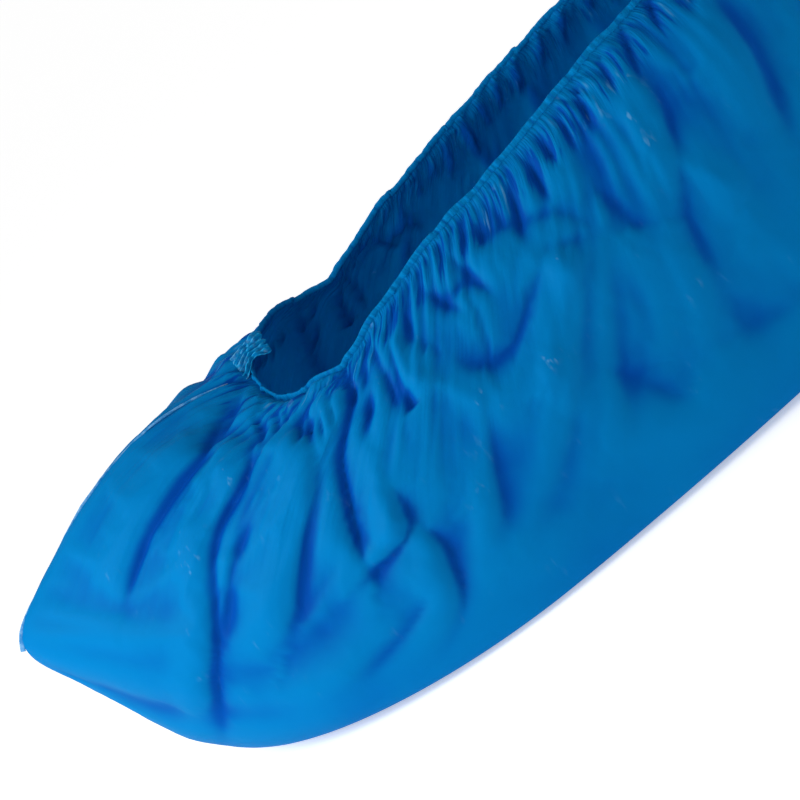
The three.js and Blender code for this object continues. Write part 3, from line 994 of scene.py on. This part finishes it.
class Finish:
    """One material and its nodes."""

    def __init__(self, name):
        self.material = bpy.data.materials.new(name)
        self.material.use_nodes = True
        self.tree = self.material.node_tree
        self.tree.nodes.clear()

    def node(self, kind, settings=None, sockets=None, output=0):
        """Adds a node, makes its settings, fills its sockets and gives one of its outputs."""
        made = self.tree.nodes.new(kind)
        for name, value in (settings or {}).items():
            setattr(made, name, value)
        for name, value in (sockets or {}).items():
            if isinstance(value, Value):
                self.tree.links.new(value.socket, made.inputs[name])
            elif hasattr(value, "__len__") and len(made.inputs[name].default_value) == 4:
                made.inputs[name].default_value = (*value[:3], 1.0)
            else:
                made.inputs[name].default_value = value
        return Value(self, made.outputs[output])

    def attribute(self, name):
        return self.node("ShaderNodeAttribute", {"attribute_name": name}, output="Fac")

    def place(self):
        return self.node("ShaderNodeTexCoord", output="Object")

    def speckle(self, scale, detail=3.0, roughness=0.55, stretch=None):
        place = self.place()
        if stretch:
            place = self.node("ShaderNodeMapping", {}, {"Vector": place, "Scale": stretch})
        return self.node("ShaderNodeTexNoise", {},
                         {"Vector": place, "Scale": scale, "Detail": detail,
                          "Roughness": roughness})

    def streaks(self, along, below, lean):
        """Streaks that run down from the hem: along and below are in mm, lean is a distance."""
        place = self.node("ShaderNodeCombineXYZ", {}, {"X": along, "Y": below, "Z": lean})
        return self.node("ShaderNodeTexNoise", {},
                         {"Vector": place, "Scale": 1.0, "Detail": 2.0, "Roughness": 0.5})

    def creases(self, scale):
        """Flat facets that meet in sharp creases, as crumpled film has: 0 at a crease."""
        return self.node("ShaderNodeMath", {"operation": "ABSOLUTE"},
                         {0: self.speckle(scale, 1.5, 0.4) - 0.5})

    def mix(self, share, first, second):
        return self.node("ShaderNodeMix", {"data_type": "RGBA"},
                         {0: share, 6: first, 7: second}, output=2)

    def bump(self, height, distance, strength=1.0, normal=None):
        sockets = {"Height": height, "Distance": distance, "Strength": strength}
        if normal is not None:
            sockets["Normal"] = normal
        return self.node("ShaderNodeBump", {}, sockets)

    def finish(self, shader):
        output = self.tree.nodes.new("ShaderNodeOutputMaterial")
        self.tree.links.new(shader.socket, output.inputs["Surface"])
        return self.material


THROUGH_FILM = (0.0, 0.50, 0.80)  # the light's colour once it is through one face of the wall
THROUGH_SHARE = 0.36  # the share of the light that goes through
FILM_ROUGHNESS = 0.5


def film_shader(film, colour, bumps):
    """Thin film: a satin surface that also lets much of the light through."""
    shine = film.node("ShaderNodeBsdfPrincipled", {}, {
        "Base Color": colour,
        "Roughness": FILM_ROUGHNESS,
        "Specular IOR Level": 0.02,
        "Normal": bumps,
    })
    glow = film.node("ShaderNodeBsdfTranslucent", {}, {"Color": THROUGH_FILM, "Normal": bumps})
    return film.node("ShaderNodeMixShader", {}, {0: THROUGH_SHARE, 1: shine, 2: glow})


def film_finish(colours):
    """The cover's satin film, with painted shade: deeper where it lies in hollows, partly because
    the film lies double there, and in the valleys of its gathers and pleats; whitened along sharp
    creases, with painted highlights on ridges and by the gathers.
    """
    film = Finish("blue film")
    hollow = film.attribute("hollow")
    cloudy = film.speckle(16.0, 3.0)
    patch = film.speckle(70.0, 3.0)
    along, below = film.attribute("along"), film.attribute("below")
    gathers = film.streaks(along * 0.9, below * 0.07, 2.0)
    pleats = film.streaks(along * 0.33, below * 0.016, 5.0)
    drawn_in = 1 - below.between(3.0, 17.0)
    spread_out = (1 - below.between(35.0, 95.0)) * (1 - along.between(50.0, 115.0) * 0.75)
    # Painted shade: the colour deepens where the film lies in a hollow, where it also lies double,
    # in the valleys of the gathers and pleats, and close under the hem. cloudy adds random tone.
    shade_and_tone = hollow.between(-0.8, 1.5) + (0.5 - cloudy) * 0.9 - 0.08
    shade_and_tone = shade_and_tone + (0.5 - gathers) * drawn_in * 2.0 + (0.5 - pleats) * spread_out * 0.9
    in_ruffles = below.between(1.2, 3.2) * (1 - below.between(8.0, 14.0))
    # Painted shade in the slits between the ruffles under the hem.
    painted_slit_shade = (1 - gathers.between(0.36, 0.46)) * in_ruffles
    shade_and_tone = shade_and_tone + drawn_in * 0.16 + painted_slit_shade * 0.7
    colour = film.mix(shade_and_tone.between(0.0, 1.0), colours.film, colours.film_double_and_shade)
    # Whitened crease flecks, which are wear, together with painted highlights: the flecks are made
    # stronger on ridges, and glints are painted by the gathers.
    scratch = film.speckle(420.0, 2.0, 0.5, (1.0, 1.0, 0.3))
    ridge = 1 - hollow.between(-0.8, -0.3)
    wear_and_highlight = scratch.between(0.61, 0.72) * patch.between(0.52, 0.66) * (ridge * 0.5 + 0.06)
    glints = gathers.between(0.60, 0.68) * in_ruffles * patch.between(0.5, 0.62)
    colour = film.mix(wear_and_highlight + glints * 0.4, colour, colours.crease)
    large_facets = film.creases(38.0)
    small_facets = film.creases(95.0)
    emboss = film.speckle(1300.0, 1.0)
    bumps = film.bump(gathers * drawn_in, 0.0015, 0.7)
    bumps = film.bump(pleats * spread_out, 0.0018, 0.45, bumps)
    bumps = film.bump(large_facets, 0.0016, 0.5, bumps)
    bumps = film.bump(small_facets, 0.0006, 0.5, bumps)
    bumps = film.bump(emboss, 0.0001, 0.2, bumps)
    return film.finish(film_shader(film, colour, bumps))


def hem_finish(colours):
    """The casing: the same film, doubled and puckered over the elastic, with painted shade between
    its puckers.
    """
    hem = Finish("hem film")
    gathers = hem.streaks(hem.attribute("along") * 0.9, 0.0, 2.0)
    # Painted shade: the casing takes the deeper fold colour between its puckers.
    colour = hem.mix(gathers.between(0.2, 0.5), colours.film_double_and_shade, colours.film)
    bumps = hem.bump(gathers, 0.0008, 0.5)
    return hem.finish(film_shader(hem, colour, bumps))


def weld_finish(colours):
    """Film pressed and melted together: paler, with the bar's fine ribs."""
    weld = Finish("weld film")
    milky = weld.speckle(500.0, 3.0)
    colour = weld.mix(milky.between(0.35, 0.65), colours.weld, colours.film)
    shine = weld.node("ShaderNodeBsdfPrincipled", {}, {
        "Base Color": colour,
        "Roughness": 0.35,
        "Alpha": 0.9,
        "Normal": weld.bump(milky, 0.0003, 0.6),
    })
    return weld.finish(shine)


THROUGH_TAB = (0.20, 0.65, 0.90)


def tab_finish(colours):
    """Crumpled spare film, milky along its creases."""
    tab = Finish("tab film")
    milky = tab.speckle(650.0, 4.0, 0.6)
    broad = tab.speckle(230.0, 2.0)
    colour = tab.mix((milky * 0.6 + broad * 0.5).between(0.53, 0.75), colours.tab, colours.crease)
    bumps = tab.bump(milky, 0.0005, 0.7)
    shine = tab.node("ShaderNodeBsdfPrincipled", {}, {
        "Base Color": colour,
        "Roughness": 0.35,
        "Specular IOR Level": 0.2,
        "Normal": bumps,
    })
    glow = tab.node("ShaderNodeBsdfTranslucent", {}, {"Color": THROUGH_TAB, "Normal": bumps})
    return tab.finish(tab.node("ShaderNodeMixShader", {}, {0: 0.3, 1: shine, 2: glow}))


class CoverFilm(bpy.types.Operator):
    """Makes both sides of the gathered film bag"""

    bl_idname = "shoe_cover.film"
    bl_label = "Film"

    def execute(self, context):
        sizes = context.scene.cover_sizes
        rows, measures = film_rows(sizes)
        finish = film_finish(context.scene.cover_colours)
        near = film_side("film_near_side", rows, measures, -1, sizes)
        far = film_side("film_far_side", rows, measures, 1, sizes)
        for piece in (near, far):
            dress(piece, finish)
        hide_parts("cover_film")
        return {"FINISHED"}


HEM_INSET = 0.2  # how far the casing's middle sits inside the film's edge
HEM_LIFT = 0.6  # how far it sits above the film's edge
HEM_STEPS = 1800  # points round the opening
HEM_SIDES = 14  # points round the casing


def hem_line(count):
    """The middle line of the casing, in mm, along the top of the folded film."""
    form = smooth_form(count)[:2]
    rows = [row for _, row in form]
    line = folded_rows(form, normals_of(rows), fold_lines())[0]
    middle = Vector((MIDDLE_X, 0.0, 0.0))
    lifted = []
    for point in line:
        inwards = middle - point
        inwards.z = 0.0
        rise = Vector((0.0, 0.0, HEM_LIFT))
        lifted.append(point + inwards.normalized() * HEM_INSET + rise)
    return lifted


class CoverHem(bpy.types.Operator):
    """Makes the puckered casing round the elastic"""

    bl_idname = "shoe_cover.hem"
    bl_label = "Hem"

    def execute(self, context):
        sizes = context.scene.cover_sizes
        count, sides = HEM_STEPS, HEM_SIDES
        line = hem_line(count)
        points = []
        for i, point in enumerate(line):
            along = (line[(i + 1) % count] - line[i - 1]).normalized()
            outwards = along.cross(Vector((0, 0, 1))).normalized()
            upwards = outwards.cross(along).normalized()
            share = i / count
            broad = noise.noise(Vector((share * 60.0, 2.1, 0.0)))
            pucker = noise.noise(Vector((share * 240.0, 5.1, 0.0)))
            fine = noise.noise(Vector((share * 560.0, 9.1, 0.0)))
            tall = sizes.hem_height / MM / 2 * (1 + 0.16 * broad + 0.14 * pucker)
            wide = sizes.hem_thickness / MM / 2 * (1 + 0.5 * pucker + 0.3 * fine)
            spot = point + outwards * (0.4 * pucker + 0.15 * fine)
            spot += upwards * 0.35 * broad
            for k in range(sides):
                turn = 2 * math.pi * k / sides
                across = math.copysign(abs(math.cos(turn)) ** 0.7, math.cos(turn)) * wide
                height = math.sin(turn) * tall
                points.append(in_frame(spot + outwards * across + upwards * height))
        faces = []
        for i in range(count):
            j = (i + 1) % count
            for k in range(sides):
                m = (k + 1) % sides
                faces.append((i * sides + k, j * sides + k, j * sides + m, i * sides + m))
        hem = mesh_piece("hem_casing", points, faces)
        length = sum((a - b).length for a, b in zip(line, line[1:] + line[:1]))
        attribute = hem.data.attributes.new("along", "FLOAT", "POINT")
        attribute.data.foreach_set(
            "value", [i / count * length for i in range(count) for _ in range(sides)])
        select_only(hem)
        bpy.ops.object.mode_set(mode="EDIT")
        bpy.ops.mesh.select_all(action="SELECT")
        bpy.ops.mesh.normals_make_consistent(inside=False)
        bpy.ops.object.mode_set(mode="OBJECT")
        dress(hem, hem_finish(context.scene.cover_colours))
        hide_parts("elastic_hem")
        return {"FINISHED"}


WELD_TOP = 0.9  # the weld starts this many levels below the hem
WELD_TAIL = (0.4, 0.8, 1.2)  # steps by which it runs on past the corner, in mm
WELD_ROWS = 6  # points across it
WELD_WALL = 0.3 * MM
WELD_ROOT = 0.3  # how far it starts inside the film


def weld_strip(name, end, sizes):
    """A weld's fin along the toe or the heel, with a ragged outer edge."""
    column = 0 if end < 0 else sizes.columns
    form = smooth_form(2 * sizes.columns)
    profile = [row[column] for place, row in form if WELD_TOP <= place <= CORNER_LEVEL]
    tail = (profile[-1] - profile[-2]).normalized()
    profile += [profile[-1] + tail * step for step in WELD_TAIL]
    count = len(profile)
    points = []
    for k, point in enumerate(profile):
        along = (profile[min(count - 1, k + 1)] - profile[max(0, k - 1)]).normalized()
        outwards = Vector((along.z, 0, -along.x)) * (1 if end < 0 else -1)
        share = k / (count - 1)
        ragged = noise.noise(Vector((point.x * 0.35, point.z * 0.35, end * 3.0)))
        width = sizes.weld_width / MM * (0.35 + 0.65 * share ** 2) * (1 + 0.25 * ragged)
        sway = noise.noise(Vector((point.x * 0.09, point.z * 0.09, end * 7.0))) * 0.7
        for j in range(WELD_ROWS):
            out = j / (WELD_ROWS - 1)
            spot = point + outwards * (width * out - WELD_ROOT) + Vector((0, sway * out, 0))
            points.append(in_frame(spot))
    fin = mesh_piece(name, points, quads(count, WELD_ROWS))
    give_wall(fin, WELD_WALL, 0.0)
    return fin


class CoverWelds(bpy.types.Operator):
    """Makes the pale welds over the toe and up the heel"""

    bl_idname = "shoe_cover.welds"
    bl_label = "Welds"

    def execute(self, context):
        sizes = context.scene.cover_sizes
        finish = weld_finish(context.scene.cover_colours)
        for name, end, node in (("toe_weld", -1, "toe_seam"), ("heel_weld", 1, "heel_seam")):
            fin = weld_strip(name, end, sizes)
            dress(fin, finish)
            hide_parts(node)
        return {"FINISHED"}


TAB_LENGTH = 9.8
TAB_WIDTH = 7.6
TAB_ROLL = 50.0  # degrees by which it is turned about the weld's line
TAB_PLEATS = 5
TAB_PLEAT_DEPTH = 1.5
TAB_LOWERING = 1.0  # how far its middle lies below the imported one's
TAB_WAIST = 0.32  # the share by which the fan is narrower in its middle
TAB_DROOP = 3.2  # how far its outer end hangs
TAB_ROWS = 70
TAB_COLUMNS = 110
TAB_WALL = 0.25 * MM


class CoverTab(bpy.types.Operator):
    """Makes the crumpled fan of spare film at the top of the toe weld"""

    bl_idname = "shoe_cover.tab"
    bl_label = "Tab"

    def execute(self, context):
        low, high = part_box("seam_tab")
        middle = (Vector(low) + Vector(high)) / 2 - Vector((0, 0, TAB_LOWERING * MM))
        turn = Matrix.Rotation(math.radians(TAB_ROLL), 3, "X")
        points = []
        for j in range(TAB_ROWS + 1):
            t = j / TAB_ROWS
            fan = 1.0 - TAB_WAIST * math.sin(math.pi * t) ** 2
            droop = TAB_DROOP * smooth_step(0.45, 1.0, 1 - t)
            for i in range(TAB_COLUMNS + 1):
                s = i / TAB_COLUMNS - 0.5
                ragged = noise.noise(Vector((s * 13.0, 2.0 + 5 * (t > 0.5), 1.0)))
                bend = noise.noise(Vector((s * 5.0, t * 2.2, 1.0)))
                pleat = 2 * abs(((s * TAB_PLEATS + 0.22 * bend + 0.5) % 1.0) - 0.5)
                height = TAB_PLEAT_DEPTH * (pleat - 0.5) * (0.55 + 0.45 * abs(2 * t - 1))
                crumple = noise.noise(Vector((s * 8.0, t * 7.0, 4.0))) * 0.8
                x = (t - 0.5) * TAB_LENGTH + 0.9 * ragged * (2 * t - 1)
                y = s * TAB_WIDTH * fan - droop * 0.75
                z = height + crumple + 0.9 * math.sin(math.pi * t) + droop * 0.25
                points.append(middle + (turn @ Vector((x, y, z))) * MM)
        tab = mesh_piece("tab_film", points, quads(TAB_ROWS + 1, TAB_COLUMNS + 1))
        give_wall(tab, TAB_WALL, 0.0)
        dress(tab, tab_finish(context.scene.cover_colours))
        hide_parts("seam_tab")
        return {"FINISHED"}


CAMERA_AZIMUTH = 3.0  # degrees round from square to the near side
CAMERA_TURN = 39.4  # degrees by which the picture is turned
CAMERA_AIM = Vector((-23.9, -6.0, 49.5))  # the picture's middle, in mm of the form
CAMERA_AWAY = 0.7
CAMERA_LENS = 122.4
SENSOR = 36.0
FLOOR_SIZE = 40.0
FLOOR_DROP = 0.0004  # the floor lies this far below the sole, so that they don't flicker
FLOOR_GLOW = 0.44
KEY_FROM = (-0.85, -0.08, 0.62)
KEY_SOFTNESS = 28.0
TOE_LIGHT_AT = (-0.36, -0.20, 0.22)
TOE_LIGHT_SIZE = 0.25


class CoverStage(bpy.types.Operator):
    """Makes the camera, the floor and the lights"""

    bl_idname = "shoe_cover.stage"
    bl_label = "Stage"

    def execute(self, context):
        azimuth, tilt = math.radians(CAMERA_AZIMUTH), math.radians(VIEW_TILT)
        back = Vector((math.sin(azimuth) * math.cos(tilt), -math.cos(azimuth) * math.cos(tilt),
                       math.sin(tilt)))
        bpy.ops.object.camera_add(location=in_frame(CAMERA_AIM) + back * CAMERA_AWAY)
        camera = context.object
        camera.rotation_mode = "QUATERNION"
        level = (-back).to_track_quat("-Z", "Y")
        turn = Matrix.Rotation(math.radians(-CAMERA_TURN), 3, "Z").to_quaternion()
        camera.rotation_quaternion = level @ turn
        camera.data.lens = CAMERA_LENS
        camera.data.sensor_width = SENSOR
        context.scene.camera = camera

        colours = context.scene.cover_colours
        bpy.ops.mesh.primitive_plane_add(size=FLOOR_SIZE, location=(0, 0, -FLOOR_DROP))
        floor = context.object
        floor.name = "floor"
        paint = Finish("floor")
        floor.data.materials.append(paint.finish(paint.node(
            "ShaderNodeBsdfPrincipled", {},
            {"Base Color": colours.floor, "Roughness": 0.9, "Specular IOR Level": 0.1,
             "Emission Color": colours.floor, "Emission Strength": FLOOR_GLOW})))

        world = context.scene.world or bpy.data.worlds.new("studio")
        context.scene.world = world
        world.use_nodes = True
        background = world.node_tree.nodes.get("Background")
        background.inputs["Color"].default_value = (1.0, 1.0, 1.0, 1.0)
        background.inputs["Strength"].default_value = colours.sky_strength

        bpy.ops.object.light_add(type="SUN", location=(-1.0, -1.0, 2.0))
        key = context.object
        key.name = "key"
        key.data.energy = colours.key_strength
        key.data.angle = math.radians(KEY_SOFTNESS)
        key.rotation_mode = "QUATERNION"
        key.rotation_quaternion = (-Vector(KEY_FROM)).to_track_quat("-Z", "Y")

        bpy.ops.object.light_add(type="AREA", location=TOE_LIGHT_AT)
        toe_light = context.object
        toe_light.name = "toe_light"
        toe_light.data.energy = colours.toe_light
        toe_light.data.size = TOE_LIGHT_SIZE
        toe_light.rotation_mode = "QUATERNION"
        aim = in_frame(CAMERA_AIM) - Vector(TOE_LIGHT_AT)
        toe_light.rotation_quaternion = aim.to_track_quat("-Z", "Y")
        context.scene.view_settings.view_transform = "Standard"
        return {"FINISHED"}


OPERATORS = (CoverStage, CoverFilm, CoverHem, CoverWelds, CoverTab)


class CoverPanel(bpy.types.Panel):
    """Lists the cover's pieces"""

    bl_idname = "VIEW3D_PT_shoe_cover"
    bl_label = "Shoe Cover"
    bl_space_type = "VIEW_3D"
    bl_region_type = "UI"
    bl_category = "Shoe Cover"

    def draw(self, context):
        for operator in OPERATORS:
            self.layout.operator(operator.bl_idname)
        for group in (context.scene.cover_sizes, context.scene.cover_colours):
            for name in group.__annotations__:
                self.layout.prop(group, name)


CLASSES = (CoverSizes, CoverColours, *OPERATORS, CoverPanel)


def register():
    for made in CLASSES:
        bpy.utils.register_class(made)
    bpy.types.Scene.cover_sizes = PointerProperty(type=CoverSizes)
    bpy.types.Scene.cover_colours = PointerProperty(type=CoverColours)


def unregister():
    del bpy.types.Scene.cover_colours
    del bpy.types.Scene.cover_sizes
    for made in reversed(CLASSES):
        bpy.utils.unregister_class(made)


def main():
    register()
    bpy.ops.shoe_cover.stage()
    bpy.ops.shoe_cover.film()
    bpy.ops.shoe_cover.hem()
    bpy.ops.shoe_cover.welds()
    bpy.ops.shoe_cover.tab()


if __name__ == "__main__":
    main()
